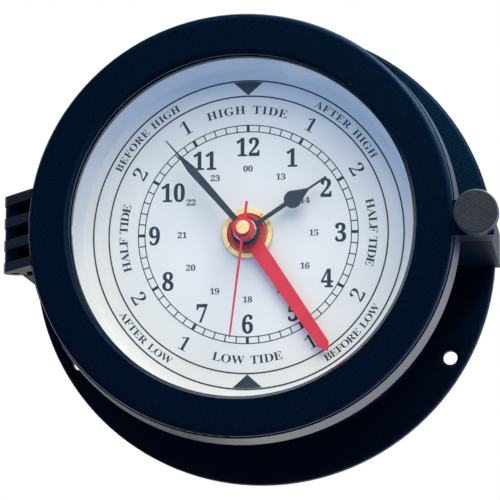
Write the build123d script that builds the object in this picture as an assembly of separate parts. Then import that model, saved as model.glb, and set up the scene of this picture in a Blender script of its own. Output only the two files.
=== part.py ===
from build123d import *
import os
from math import acos, atan2, cos, degrees, hypot, radians, sin

# Tide clock in a round flanged case with a hinged bezel.
# Every piece is drawn about the axis of the dial: X points to 3 o'clock, Y to 12 o'clock and Z out of
# the dial, with zero at the back of the flange. The last step turns each piece so that 12 o'clock is
# up and the dial faces -Y. All sizes are in millimetres and all directions in degrees.

full_turn = 360.0
half_turn = full_turn / 2

# Clearances shared by the whole clock
overrun = 1.0
running_clearance = 0.05
fixed_clearance = 0.02
seat_clearance = 0.2
end_clearance = 0.15

# Case: a round body on a wide mounting flange, with an air space round the movement
movement_space = 6.395
case_depth = 46.3
rim_wall = 2.5
dial_ledge_width = 3.2
dial_recess_depth = 7.8
floor_thickness = 3.0
floor_lip_width = 10.2
case_rim_round = 0.5
flange_margin = 13.05
flange_thickness = 4.5
flange_front_round = 1.3
flange_back_round = 0.6

# Mounting holes in the flange
mount_hole_count = 3
mount_hole_inset = 5.25
mount_hole_radius = 2.2
countersink_radius = 3.4
countersink_depth = 1.6

# Seal on the rim of the case
seal_thickness = 0.5
seal_margin = 0.3
seal_gap = 0.1

# Bezel, lens and the ring that holds the lens
bezel_height = 11.6
bezel_overhang = 5.3
bezel_side_flare = 1.3
bezel_front_round = 1.6
bezel_groove_setback = 2.2
bezel_groove_width = 0.5
bezel_groove_depth = 0.4
window_inset = 7.9
window_bevel_width = 1.1
window_bevel_depth = 2.2
lip_thickness = 3.0
lens_seat_width = 3.2
lens_thickness = 2.5
lens_gasket_thickness = 0.3
retainer_thickness = 2.2
retainer_notch_width = 3.0
retainer_notch_depth = 1.0

# Hinge on the left: fins on the bezel, barrels on the case, one pin through both
hinge_standoff = 5.3
hinge_drop = 3.2
hinge_height = 23.0
fin_count = 4
fin_height = 2.9
knuckle_radius = 3.6
barrel_radius = 3.3
hinge_pin_radius = 1.1
hinge_pin_recess = 0.3
hinge_gap = 0.12
fin_root_depth = 4.2
hinge_post_gap = 0.4
hinge_post_face = 4.0
barrel_web_angle = -30.0

# Closing lug on the right, with a captive thumb screw
lug_height = 10.4
lug_back_reach = 9.0
lug_front_reach = 10.2
lug_step = 0.5
screw_inset = 3.7
screw_rise = 0.8
shank_radius = 1.5
shank_clearance = 0.25
thread_engagement = 3.8
knob_radius = 6.5
knob_thickness = 5.2
knob_gap = 0.3
knob_round = 0.5
knob_waist_depth = 0.35
knob_waist_width = 1.2
clip_radius = 2.7
clip_thickness = 0.6
clip_groove_depth = 0.45
clip_opening = 1.4
clip_gap = 0.2
insert_radius = 2.6
insert_length = 8.0

# Dial, its screws and the reflector ring round it
dial_thickness = 1.0
dial_screw_count = 3
dial_screw_radius = 0.8
dial_screw_length = 6.0
dial_screw_head_radius = 1.35
dial_screw_head_height = 0.8
dial_screw_angle = 60.0
reflector_foot_width = 6.2
reflector_top_width = 3.8
cushion_radius = 9.0
cushion_thickness = 0.5

# Brass bushing and slotted nut that clamp the movement to the dial
bushing_radius = 4.0
bushing_stand = 1.3
bushing_collar_radius = 5.2
bushing_collar_thickness = 0.8
nut_radius = 7.5
nut_height = 1.3
nut_step_radius = 6.1
nut_step_depth = 0.6
nut_notch_count = 4
nut_notch_width = 2.0

# Movement housing
gear_space_top = 25.2
bay_end_wall = 2.55
housing_front_wall = 2.0
housing_wall = 1.8
housing_corner_round = 2.5
cover_thickness = 1.5
post_radius = 2.4
post_shoulder = 1.0
post_inset = 2.0
movement_screw_radius = 0.9
movement_screw_length = 7.0
movement_screw_head_radius = 1.7
movement_screw_head_height = 0.8
bearing_depth = 0.8

# Battery, size AA, and its two contacts
battery_radius = 7.15
battery_length = 50.5
battery_tip_radius = 2.6
battery_tip_length = 1.3
contact_thickness = 0.4
contact_width = 9.0
contact_height = 11.0
spring_space = 3.2

# Layers of wheels, from the back of the movement forwards
wheel_thickness = 0.8
wheel_gap = 0.6
plate_gap = 0.7
tide_collar_height = 0.45
middle_plate_thickness = 1.2
train_plate_thickness = 1.0
pillar_radius = 1.4

# Arbors and pipes, from the middle outwards
second_arbor_radius = 0.4
cannon_wall = 0.4
hour_pipe_wall = 0.45
tide_pipe_wall = 0.6
arbor_radius = 0.3
stud_radius = 0.6
setting_arbor_radius = 0.6
clutch_washer_radius = 2.2
clutch_washer_thickness = 0.4

# Wheels: modules and teeth of each mesh
rotor_module = 0.2
rotor_teeth = 6
step_wheel_teeth = 36
second_module = 0.3
step_pinion_teeth = 6
second_wheel_teeth = 30
third_module = 0.27
second_pinion_teeth = 8
third_wheel_teeth = 60
third_pinion_teeth = 8
centre_wheel_teeth = 64
minute_module = 0.25
cannon_teeth = 12
minute_wheel_teeth = 36
minute_pinion_teeth = 10
hour_wheel_teeth = 40
tide_module = 0.25
hour_tide_teeth = 57
idler_teeth = 20
tide_wheel_teeth = 59
setting_teeth = 18
addendum_share = 0.8
dedendum_share = 1.2
tooth_root_share = 0.30
tooth_tip_share = 0.11

# Angles of the wheels about the dial's axis, counter-clockwise from 3 o'clock
step_angle = -30.0
third_angle = 150.0
minute_wheel_angle = 75.0
idler_angle = -60.0

# Stepping motor
magnet_radius = 2.6
magnet_height = 3.0
stator_gap = 0.4
stator_ring_width = 0.7
stator_thickness = 0.8
stator_bar_width = 4.0
stator_slot = 0.8
coil_inset = 7.7
coil_length = 18.0
coil_width = 4.8
core_width = 3.0
core_thickness = 1.0
core_end = 2.5

# Circuit board with its crystal and its chip
board_width = 15.0
board_thickness = 1.0
board_side_gap = 1.2
board_post_gap = 1.35
board_stand = 1.5
boss_radius = 1.2
crystal_radius = 1.0
crystal_length = 6.0
chip_size = 5.0
chip_height = 1.3

# Setting knob on the back of the movement
setting_knob_radius = 4.0
setting_knob_height = 2.2
setting_knob_gap = 0.4
setting_flute_count = 16
setting_flute_radius = 0.45

# Hands: heights above the dial, lengths, widths and where each one points
hand_thickness = 0.35
tide_hand_level = 2.5
hour_hand_level = 4.5
minute_hand_level = 7.1
second_hand_level = 9.5
tide_angle = 145.9
hour_angle = 56.6
minute_angle = 319.0
second_angle = 187.0
tide_hub_radius = 5.6
tide_reach = 43.4
tide_root_width = 4.9
tide_tip_width = 3.4
tide_point_length = 2.2
hour_hub_radius = 4.3
hour_stem_width = 1.3
hour_drop_centre = 16.8
hour_drop_radius = 2.65
hour_drop_shoulder_angle = 12.0
hour_drop_neck_share = 0.48
hour_drop_neck_height_share = 1.25
hour_needle_start = 22.4
hour_needle_width = 0.6
hour_reach = 28.9
minute_hub_radius = 2.3
minute_root_width = 1.6
minute_blade_width = 2.5
minute_blade_at = 24.5
minute_shoulder_at = 30.5
minute_needle_width = 0.55
minute_tip_width = 0.35
minute_reach = 36.4
collet_radius = 3.5
collet_height = 1.7
collet_flute_count = 30
collet_flute_radius = 0.14
second_hub_radius = 3.25
second_root_width = 0.8
second_tip_width = 0.45
second_reach = 32.7
second_tail = 8.1
cap_radius = 2.1
cap_height = 1.4
cap_round = 0.3
pipe_stand = 0.25

# Levels, from the back of the flange outwards
dial_front = case_depth - dial_recess_depth
dial_back = dial_front - dial_thickness
bezel_back = case_depth + seal_thickness + seal_gap
bezel_front = bezel_back + bezel_height
lens_gasket_level = bezel_front - lip_thickness - lens_gasket_thickness
lens_level = lens_gasket_level - lens_thickness
retainer_level = lens_level - retainer_thickness
housing_front = dial_back - cushion_thickness
housing_inside = housing_front - housing_front_wall
layer_pitch = wheel_thickness + wheel_gap
tide_collar_front = housing_inside - bushing_collar_thickness - end_clearance
layer_8 = tide_collar_front - tide_collar_height - wheel_thickness
layer_7 = layer_8 - layer_pitch
layer_6 = layer_7 - layer_pitch
layer_5 = layer_6 - layer_pitch
middle_plate_front = layer_5 - plate_gap
middle_plate_back = middle_plate_front - middle_plate_thickness
layer_4 = middle_plate_back - plate_gap - wheel_thickness
train_plate_front = layer_4 - wheel_gap
train_plate_back = train_plate_front - train_plate_thickness
magnet_back = train_plate_back - wheel_gap / 2 - magnet_height
layer_1 = magnet_back - wheel_gap / 2 - wheel_thickness
layer_2 = layer_1 + layer_pitch
layer_3 = layer_2 + layer_pitch
stator_back = layer_2 + wheel_thickness + wheel_gap / 3
core_back = stator_back - core_thickness
housing_back = layer_1 - plate_gap
cover_back = housing_back - cover_thickness

# Distances between meshing wheels
rotor_distance = rotor_module * (rotor_teeth + step_wheel_teeth) / 2
step_distance = second_module * (step_pinion_teeth + second_wheel_teeth) / 2
third_distance = third_module * (second_pinion_teeth + third_wheel_teeth) / 2
centre_module = 2 * third_distance / (third_pinion_teeth + centre_wheel_teeth)
minute_distance = minute_module * (cannon_teeth + minute_wheel_teeth) / 2
hour_module = 2 * minute_distance / (minute_pinion_teeth + hour_wheel_teeth)
idler_distance = tide_module * (hour_tide_teeth + idler_teeth) / 2
tide_wheel_module = 2 * idler_distance / (tide_wheel_teeth + idler_teeth)
setting_distance = minute_distance + minute_module * (minute_wheel_teeth + setting_teeth) / 2


def toward(distance, angle):
    """Point at a distance from the dial's axis, at an angle counter-clockwise from 3 o'clock."""
    return (distance * cos(radians(angle)), distance * sin(radians(angle)))


step_at = toward(step_distance, step_angle)
rotor_at = toward(step_distance + rotor_distance, step_angle)
third_at = toward(third_distance, third_angle)
minute_at = toward(minute_distance, minute_wheel_angle)
setting_at = toward(setting_distance, minute_wheel_angle)
idler_at = toward(idler_distance, idler_angle)

# Gear space and battery bay of the movement
core_half = coil_length / 2 + core_end
battery_right = battery_length / 2
battery_left = -battery_right
bay_right = battery_right + end_clearance + contact_thickness
bay_left = battery_left - spring_space
housing_half = -bay_left + bay_end_wall
gear_space_half = housing_half - housing_wall
gear_space_bottom = rotor_at[1] - core_half - seat_clearance
housing_top = gear_space_top + housing_wall
post_x = gear_space_half - post_inset
post_top = gear_space_top - post_inset
post_bottom = gear_space_bottom + post_inset
post_places = [(side * post_x, level) for side in (-1, 1) for level in (post_bottom, post_top)]
pillar_places = [(x - 2 * post_radius * x / abs(x), y) for x, y in post_places]
divider_bottom = gear_space_bottom - housing_wall
battery_y = divider_bottom - seat_clearance - battery_radius
battery_z = housing_inside - seat_clearance - battery_radius
bay_bottom = battery_y - battery_radius - seat_clearance
housing_bottom = bay_bottom - housing_wall
coil_x = gear_space_half - coil_inset
board_x = board_side_gap + board_width / 2 - gear_space_half
board_middle = (post_bottom + post_top) / 2
board_half = (post_top - post_bottom) / 2 - post_radius - board_post_gap

# Radii that follow from the sizes above
ledge_radius = hypot(housing_half, housing_bottom) + movement_space
case_bore_radius = ledge_radius + dial_ledge_width
case_radius = case_bore_radius + rim_wall
floor_opening_radius = case_bore_radius - floor_lip_width
flange_radius = case_radius + flange_margin
mount_circle_radius = flange_radius - mount_hole_inset
bezel_back_radius = case_radius + bezel_overhang
window_radius = case_radius - window_inset
dial_radius = case_bore_radius - seat_clearance
reflector_foot_radius = dial_radius - reflector_foot_width
reflector_top_radius = dial_radius - reflector_top_width
dial_screw_circle = (ledge_radius + dial_radius) / 2
lens_seat_radius = window_radius + lens_seat_width
lens_radius = lens_seat_radius - seat_clearance
bezel_front_radius = bezel_back_radius - bezel_side_flare
cannon_bore = second_arbor_radius + running_clearance
cannon_radius = cannon_bore + cannon_wall
hour_bore = cannon_radius + running_clearance
hour_pipe_radius = hour_bore + hour_pipe_wall
tide_bore = hour_pipe_radius + running_clearance
tide_pipe_radius = tide_bore + tide_pipe_wall
bushing_bore = tide_pipe_radius + running_clearance
shank_hole_radius = shank_radius + shank_clearance

# Hinge axis and screw axis
hinge_x = -(bezel_back_radius + hinge_standoff)
hinge_z = bezel_back - hinge_drop
lug_back_x = bezel_back_radius + lug_back_reach
lug_front_x = bezel_back_radius + lug_front_reach
screw_x = lug_back_x - screw_inset
screw_travel = thread_engagement + bezel_back - case_depth
lug_front = bezel_front - lug_step


def disc(radius, low, high, at=(0, 0)):
    """Round bar along Z."""
    bar = Cylinder(radius, high - low, align=(Align.CENTER, Align.CENTER, Align.MIN))
    return Pos(at[0], at[1], low) * bar


def ring(outer, inner, low, high, at=(0, 0)):
    """Round tube along Z."""
    return disc(outer, low, high, at) - disc(inner, low - overrun, high + overrun, at)


def block(x_low, x_high, y_low, y_high, z_low, z_high):
    """Box between six faces."""
    box = Box(x_high - x_low, y_high - y_low, z_high - z_low, align=(Align.MIN, Align.MIN, Align.MIN))
    return Pos(x_low, y_low, z_low) * box


def flat(points):
    """Face inside a closed outline of straight lines."""
    return make_face(Polyline(*points, close=True))


def softened(face, corner, radius):
    """The face with the corner nearest to a point rounded off."""
    nearest = min(face.vertices(), key=lambda v: hypot(v.X - corner[0], v.Y - corner[1]))
    return fillet([nearest], radius)


def turned(face):
    """Solid of revolution about the dial's axis of a face drawn as radius and level."""
    return revolve(Plane.XZ * face, Axis.Z)


def side_slab(points, y_low, y_high):
    """Slab whose outline is drawn as X and level, between two heights on the dial."""
    return Pos(0, y_high, 0) * extrude(Plane.XZ * flat(points), amount=y_high - y_low)


def round_array(shape, count, start=0.0):
    """Copies of a shape, evenly spaced round the dial's axis, clockwise from a start angle."""
    return [Rot(0, 0, -start - index * full_turn / count) * shape for index in range(count)]


def gear(teeth, module, low, high, phase=0.0, at=(0, 0)):
    """Toothed disc with one tooth centred on the phase direction."""
    pitch_radius = teeth * module / 2
    root = pitch_radius - dedendum_share * module
    tip = pitch_radius + addendum_share * module
    step = full_turn / teeth
    corners = [(root, -tooth_root_share), (tip, -tooth_tip_share)]
    corners += [(tip, tooth_tip_share), (root, tooth_root_share)]
    outline = []
    for index in range(teeth):
        for radius, share in corners:
            outline.append(toward(radius, phase + (index + share) * step))
    return Pos(at[0], at[1], low) * extrude(flat(outline), amount=high - low)


def mesh_phase(driver_phase, driver_teeth, direction, driven_teeth):
    """Phase of the driven wheel that puts one of its gaps round the driver's tooth."""
    turn = (direction - driver_phase) * driver_teeth / full_turn
    return direction + half_turn - (1 / 2 - turn) * full_turn / driven_teeth


def case_profile():
    """Half section of the case: flange, floor, wall, dial ledge and rim."""
    points = [
        (floor_opening_radius, 0),
        (flange_radius, 0),
        (flange_radius, flange_thickness),
        (case_radius, flange_thickness),
        (case_radius, case_depth),
        (case_bore_radius, case_depth),
        (case_bore_radius, dial_back),
        (ledge_radius, dial_back),
        (ledge_radius, floor_thickness),
        (floor_opening_radius, floor_thickness),
    ]
    face = softened(flat(points), (flange_radius, flange_thickness), flange_front_round)
    face = softened(face, (flange_radius, 0), flange_back_round)
    return softened(face, (case_radius, case_depth), case_rim_round)


def hinge_levels():
    """Lower and upper Y of each fin, from the bottom up."""
    gap = (hinge_height - fin_count * fin_height) / (fin_count - 1)
    start = -hinge_height / 2
    lows = [start + index * (fin_height + gap) for index in range(fin_count)]
    return [(low, low + fin_height) for low in lows]


def barrel_levels():
    """Lower and upper Y of each case barrel, between the fins."""
    fins = hinge_levels()
    pairs = zip(fins[:-1], fins[1:])
    return [(lower[1] + hinge_gap, upper[0] - hinge_gap) for lower, upper in pairs]


def along_pin(radius, y_low, y_high):
    """Round bar on the hinge axis."""
    bar = Cylinder(radius, y_high - y_low, align=(Align.CENTER, Align.CENTER, Align.MIN))
    return Pos(hinge_x, y_high, hinge_z) * Rot(90, 0, 0) * bar


def hinge_post():
    """Post on the flange that carries the barrels."""
    top = hinge_z - knuckle_radius - hinge_post_gap
    face_x = -(bezel_back_radius + hinge_post_face)
    root_x = -(case_radius + case_bore_radius) / 2
    half = hinge_height / 2
    post = block(face_x, root_x, -half, half, 0, top)
    across, down = toward(barrel_radius, barrel_web_angle)
    web = [
        (face_x, top - overrun),
        (hinge_x - across, hinge_z + down),
        (hinge_x, hinge_z),
        (hinge_x + across, hinge_z + down),
        (-bezel_back_radius + overrun, top - overrun),
    ]
    for low, high in barrel_levels():
        post += side_slab(web, low, high)
        post += along_pin(barrel_radius, low, high)
    return post


def screw_post():
    """Post on the flange under the closing lug, with the bore for the threaded insert."""
    half = lug_height / 2
    root_x = (case_radius + case_bore_radius) / 2
    post = block(root_x, lug_back_x, -half, half, 0, case_depth)
    depth = insert_length + end_clearance
    return post - disc(insert_radius + fixed_clearance, case_depth - depth, case_depth + overrun,
                       (screw_x, screw_rise))


def mount_holes():
    """Countersunk screw holes through the flange."""
    hole = disc(mount_hole_radius, -overrun, flange_thickness + overrun, (0, mount_circle_radius))
    sink = Cone(mount_hole_radius, countersink_radius, countersink_depth,
                align=(Align.CENTER, Align.CENTER, Align.MAX))
    hole += Pos(0, mount_circle_radius, flange_thickness) * sink
    return round_array(hole, mount_hole_count)


def case_body():
    """Case with flange, hinge post and screw post."""
    body = turned(case_profile()) + hinge_post() + screw_post()
    body -= disc(ledge_radius, floor_thickness, dial_back)
    body -= along_pin(hinge_pin_radius + fixed_clearance, -hinge_height, hinge_height)
    for hole in mount_holes():
        body -= hole
    low = dial_front - dial_screw_length - end_clearance
    pilot = disc(dial_screw_radius + fixed_clearance, low, dial_front, (0, dial_screw_circle))
    for hole in round_array(pilot, dial_screw_count, dial_screw_angle):
        body -= hole
    return body


def case_seal():
    """Flat seal on the rim of the case."""
    outer = case_radius - seal_margin
    inner = case_bore_radius + seal_margin
    return ring(outer, inner, case_depth, case_depth + seal_thickness)


def hinge_pin():
    """Pin through the fins and the barrels."""
    half = hinge_height / 2 - hinge_pin_recess
    return along_pin(hinge_pin_radius, -half, half)


def threaded_insert():
    """Brass insert that takes the thumb screw."""
    low = case_depth - insert_length
    return ring(insert_radius, shank_hole_radius, low, case_depth, (screw_x, screw_rise))


def bezel_profile():
    """Half section of the bezel ring."""
    groove_top = bezel_front - bezel_groove_setback
    groove_low = groove_top - bezel_groove_width
    band_radius = bezel_front_radius + bezel_groove_depth
    points = [
        (window_radius, lens_gasket_level + lens_gasket_thickness),
        (window_radius, bezel_front - window_bevel_depth),
        (window_radius + window_bevel_width, bezel_front),
        (bezel_front_radius, bezel_front),
        (bezel_front_radius, groove_top),
        (bezel_front_radius - bezel_groove_depth, groove_top),
        (bezel_front_radius - bezel_groove_depth, groove_low),
        (band_radius, groove_low),
        (bezel_back_radius, bezel_back),
        (lens_seat_radius, bezel_back),
        (lens_seat_radius, lens_gasket_level + lens_gasket_thickness),
    ]
    return softened(flat(points), (bezel_front_radius, bezel_front), bezel_front_round)


def fin_outline():
    """Outline of one hinge fin: a sloping front that runs down to a round knuckle."""
    root_x = -(bezel_front_radius - fin_root_depth)
    corner = (-(bezel_front_radius - bezel_front_round / 2), bezel_front - bezel_front_round / 2)
    reach = hypot(corner[0] - hinge_x, corner[1] - hinge_z)
    aim = atan2(corner[1] - hinge_z, corner[0] - hinge_x)
    tangent = degrees(aim + acos(knuckle_radius / reach))
    offset = toward(knuckle_radius, tangent)
    touch = (hinge_x + offset[0], hinge_z + offset[1])
    inner_x = hinge_x + knuckle_radius
    return [(root_x, bezel_back), (root_x, corner[1]), corner, touch, (hinge_x, hinge_z),
            (inner_x, hinge_z), (inner_x, bezel_back)]


def bezel_lug():
    """Lug that carries the thumb screw, with its bore and the pocket for the clip."""
    root_x = bezel_front_radius - fin_root_depth
    outline = [(root_x, bezel_back), (lug_back_x, bezel_back),
               (lug_front_x, lug_front), (root_x, lug_front)]
    half = lug_height / 2
    lug = side_slab(outline, -half, half)
    centre = (screw_x, screw_rise)
    lug -= disc(shank_hole_radius, bezel_back - overrun, bezel_front + overrun, centre)
    pocket_top = bezel_back + clip_gap + clip_thickness + screw_travel + clip_gap
    return lug - disc(clip_radius + seat_clearance, bezel_back - overrun, pocket_top, centre)


def bezel_ring():
    """Bezel with hinge fins and closing lug."""
    body = turned(bezel_profile()) + bezel_lug()
    outline = fin_outline()
    for low, high in hinge_levels():
        body += side_slab(outline, low, high)
        body += along_pin(knuckle_radius, low, high)
    return body - along_pin(hinge_pin_radius + running_clearance, -hinge_height, hinge_height)


def lens():
    """Flat glass."""
    return disc(lens_radius, lens_level, lens_gasket_level)


def lens_gasket():
    """Thin gasket between the glass and the lip of the bezel."""
    return ring(lens_radius, window_radius + seat_clearance, lens_gasket_level,
                lens_gasket_level + lens_gasket_thickness)


def lens_retainer():
    """Ring behind the glass, with two notches for a spanner."""
    body = ring(lens_seat_radius - fixed_clearance, window_radius, retainer_level, lens_level)
    half = retainer_notch_width / 2
    cut = block(window_radius - overrun, lens_seat_radius + overrun, -half, half,
                retainer_level - overrun, retainer_level + retainer_notch_depth)
    for notch in round_array(cut, 2):
        body -= notch
    return body


def clip_level():
    """Back face of the captive clip."""
    return bezel_back + clip_gap


def thumb_screw():
    """Round knob on a shank that reaches into the insert of the case."""
    centre = (screw_x, screw_rise)
    low = lug_front + knob_gap
    high = low + knob_thickness
    middle = (low + high) / 2
    profile = flat([
        (0, low),
        (knob_radius, low),
        (knob_radius, middle - knob_waist_width / 2),
        (knob_radius - knob_waist_depth, middle - knob_waist_width / 2),
        (knob_radius - knob_waist_depth, middle + knob_waist_width / 2),
        (knob_radius, middle + knob_waist_width / 2),
        (knob_radius, high),
        (0, high),
    ])
    profile = softened(profile, (knob_radius, high), knob_round)
    profile = softened(profile, (knob_radius, low), knob_round)
    knob = Pos(centre[0], centre[1], 0) * turned(profile)
    knob += disc(shank_radius, case_depth - thread_engagement, low + overrun, centre)
    groove = clip_level() - running_clearance
    groove_top = clip_level() + clip_thickness + running_clearance
    return knob - ring(shank_radius + overrun, shank_radius - clip_groove_depth, groove, groove_top, centre)


def screw_clip():
    """Open ring that sits in the groove of the shank and keeps the screw in the lug."""
    low = clip_level()
    high = low + clip_thickness
    inner = shank_radius - clip_groove_depth + running_clearance
    body = ring(clip_radius, inner, low, high)
    half = clip_opening / 2
    body -= block(0, clip_radius + overrun, -half, half, low - overrun, high + overrun)
    return Pos(screw_x, screw_rise, 0) * body


def dial_plate():
    """Flat dial with the hole for the bushing and the screw holes at its rim."""
    body = disc(dial_radius, dial_back, dial_front)
    body -= disc(bushing_radius + running_clearance, dial_back - overrun, dial_front + overrun)
    hole = disc(dial_screw_radius + running_clearance, dial_back - overrun, dial_front + overrun,
                (0, dial_screw_circle))
    for cut in round_array(hole, dial_screw_count, dial_screw_angle):
        body -= cut
    return body


def dial_screws():
    """Screws that hold the dial on the ledge of the case."""
    low = dial_front - dial_screw_length
    centre = (0, dial_screw_circle)
    screw = disc(dial_screw_radius, low, dial_front, centre)
    screw += disc(dial_screw_head_radius, dial_front, dial_front + dial_screw_head_height, centre)
    slot = dial_screw_head_radius / 3
    reach = dial_screw_head_radius + overrun
    top = dial_front + dial_screw_head_height
    screw -= block(-reach, reach, dial_screw_circle - slot / 2, dial_screw_circle + slot / 2,
                   top - dial_screw_head_height / 2, top + overrun)
    return Compound(round_array(screw, dial_screw_count, dial_screw_angle))


def reflector_ring():
    """Pale ring between the dial and the rim of the case, flared towards the glass."""
    outline = [(reflector_foot_radius, dial_front), (dial_radius, dial_front),
               (dial_radius, case_depth), (reflector_top_radius, case_depth)]
    body = turned(flat(outline))
    pocket = disc(dial_screw_head_radius + seat_clearance, dial_front - overrun,
                  dial_front + dial_screw_head_height + seat_clearance, (0, dial_screw_circle))
    for cut in round_array(pocket, dial_screw_count, dial_screw_angle):
        body -= cut
    return body


def dial_cushion():
    """Rubber washer between the movement and the dial."""
    return ring(cushion_radius, bushing_radius + running_clearance, housing_front, dial_back)


def bushing():
    """Threaded brass bushing fixed in the front of the movement."""
    top = dial_front + bushing_stand
    body = ring(bushing_radius, bushing_bore, housing_inside - bushing_collar_thickness, top)
    return body + ring(bushing_collar_radius, bushing_bore,
                       housing_inside - bushing_collar_thickness, housing_inside)


def dial_nut():
    """Slotted brass nut that clamps the movement behind the dial."""
    top = dial_front + nut_height
    body = ring(nut_radius, bushing_radius + fixed_clearance, dial_front, top)
    body -= disc(nut_step_radius, top - nut_step_depth, top + overrun)
    half = nut_notch_width / 2
    cut = block(nut_step_radius - overrun, nut_radius + overrun, -half, half,
                top - nut_step_depth, top + overrun)
    for notch in round_array(cut, nut_notch_count, full_turn / nut_notch_count / 2):
        body -= notch
    return body


def housing_outline():
    """Rounded outline of the movement seen from the front."""
    half = housing_half
    face = flat([(-half, housing_bottom), (half, housing_bottom),
                 (half, housing_top), (-half, housing_top)])
    return fillet(face.vertices(), housing_corner_round)


def movement_housing():
    """Front shell of the movement: gear space above, open battery bay below."""
    body = Pos(0, 0, housing_back) * extrude(housing_outline(), amount=housing_front - housing_back)
    body -= block(-gear_space_half, gear_space_half, gear_space_bottom, gear_space_top,
                  housing_back - overrun, housing_inside)
    body -= block(bay_left, bay_right, bay_bottom, divider_bottom, housing_back - overrun, housing_inside)
    for place in post_places:
        body += disc(post_radius, housing_back, housing_inside, place)
        body += disc(post_radius + post_shoulder, middle_plate_front, housing_inside, place)
        depth = movement_screw_length - cover_thickness + end_clearance
        body -= disc(movement_screw_radius + fixed_clearance, housing_back - overrun,
                     housing_back + depth, place)
    body -= disc(bushing_radius + fixed_clearance, housing_inside - overrun, housing_front + overrun)
    stud_low = layer_7 - wheel_gap / 2
    return body + disc(stud_radius, stud_low, housing_inside + overrun, idler_at)


def cover_outline():
    """Outline of the rear cover, which leaves the battery bay open."""
    half = housing_half
    face = flat([(-half, divider_bottom), (half, divider_bottom),
                 (half, housing_top), (-half, housing_top)])
    return fillet(face.vertices(), housing_corner_round)


def movement_cover():
    """Rear cover of the gear space, with bearings and bosses on its inside."""
    body = Pos(0, 0, cover_back) * extrude(cover_outline(), amount=cover_thickness)
    for place in post_places:
        body -= disc(movement_screw_radius + running_clearance, cover_back - overrun,
                     housing_back + overrun, place)
    low = housing_back - bearing_depth
    body -= disc(second_arbor_radius + running_clearance, low, housing_back + overrun)
    for place in (step_at, rotor_at, third_at):
        body -= disc(arbor_radius + running_clearance, low, housing_back + overrun, place)
    body -= disc(setting_arbor_radius + running_clearance, cover_back - overrun,
                 housing_back + overrun, setting_at)
    for place in core_ends():
        body += disc(boss_radius, housing_back - bearing_depth, core_back, place)
    for place in board_feet():
        body += disc(boss_radius, housing_back - bearing_depth, board_level(), place)
    return body


def movement_screws():
    """Screws that hold the rear cover on the posts of the front shell."""
    screws = []
    for place in post_places:
        screw = disc(movement_screw_radius, cover_back, cover_back + movement_screw_length, place)
        screw += disc(movement_screw_head_radius, cover_back - movement_screw_head_height,
                      cover_back, place)
        screws.append(screw)
    return Compound(screws)


def plate_blank(low, high):
    """Plate that fills the gear space, notched at its corners for the posts."""
    half = gear_space_half - seat_clearance
    bottom = gear_space_bottom + seat_clearance
    top = gear_space_top - seat_clearance
    body = block(-half, half, bottom, top, low, high)
    reach = post_radius + running_clearance
    for x, y in post_places:
        x_edges = sorted((x - reach * x / abs(x), x + post_inset * x / abs(x)))
        y_edges = sorted((y - reach * y / abs(y), y + post_inset * y / abs(y)))
        body -= block(x_edges[0], x_edges[1], y_edges[0], y_edges[1], low - overrun, high + overrun)
    return body


def plate_hole(radius, low, high, at):
    """Bearing or clearance hole for an arbor of a given radius."""
    return disc(radius + running_clearance, low - overrun, high + overrun, at)


def train_plate():
    """Plate over the motor, with the front bearings of the rotor and of the step wheel."""
    low = train_plate_back
    high = train_plate_front
    body = plate_blank(low, high)
    body -= plate_hole(second_arbor_radius, low, high, (0, 0))
    body -= plate_hole(setting_arbor_radius, low, high, setting_at)
    for place in (step_at, rotor_at, third_at):
        body -= plate_hole(arbor_radius, low, high, place)
    return body


def middle_plate():
    """Plate between the running train and the motion work, with the stud of the minute wheel."""
    low = middle_plate_back
    high = middle_plate_front
    body = plate_blank(low, high)
    body -= plate_hole(cannon_radius, low, high, (0, 0))
    body -= plate_hole(setting_arbor_radius, low, high, setting_at)
    body -= disc(arbor_radius + running_clearance, low - overrun, low + bearing_depth + end_clearance,
                 third_at)
    for place in pillar_places:
        body += disc(pillar_radius, train_plate_front, high, place)
    stud_top = layer_6 + wheel_thickness + wheel_gap / 2
    return body + disc(stud_radius, low, stud_top, minute_at)


def arbor(high, at):
    """Thin steel arbor that starts in the bearing of the cover."""
    low = housing_back - bearing_depth + end_clearance
    return disc(arbor_radius, low, high, at)


def rotor_pinion():
    """Arbor of the motor with its six-leaf pinion."""
    phase = mesh_phase(0, step_wheel_teeth, step_angle, rotor_teeth)
    body = gear(rotor_teeth, rotor_module, layer_1, layer_1 + wheel_thickness, phase, rotor_at)
    return body + arbor(train_plate_front, rotor_at)


def rotor_magnet():
    """Two-pole magnet on the rotor arbor."""
    return ring(magnet_radius, arbor_radius + fixed_clearance, magnet_back,
                magnet_back + magnet_height, rotor_at)


def step_wheel():
    """Wheel and pinion between the rotor and the second wheel."""
    phase = mesh_phase(0, second_wheel_teeth, step_angle, step_pinion_teeth)
    body = gear(step_wheel_teeth, rotor_module, layer_1, layer_1 + wheel_thickness, 0, step_at)
    body += gear(step_pinion_teeth, second_module, layer_1, layer_2 + wheel_thickness, phase, step_at)
    return body + arbor(train_plate_front, step_at)


def second_wheel():
    """Second wheel, its pinion and the long arbor that carries the second hand."""
    body = gear(second_wheel_teeth, second_module, layer_2, layer_2 + wheel_thickness)
    body += gear(second_pinion_teeth, third_module, layer_2, layer_3 + wheel_thickness)
    low = housing_back - bearing_depth + end_clearance
    high = dial_front + second_hand_level + hand_thickness
    return body + disc(second_arbor_radius, low, high)


def third_wheel():
    """Third wheel and its pinion."""
    phase = mesh_phase(0, second_pinion_teeth, third_angle, third_wheel_teeth)
    body = gear(third_wheel_teeth, third_module, layer_3, layer_3 + wheel_thickness, phase, third_at)
    body += gear(third_pinion_teeth, centre_module, layer_4, layer_4 + wheel_thickness, 0, third_at)
    return body + arbor(middle_plate_back + bearing_depth, third_at)


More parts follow.
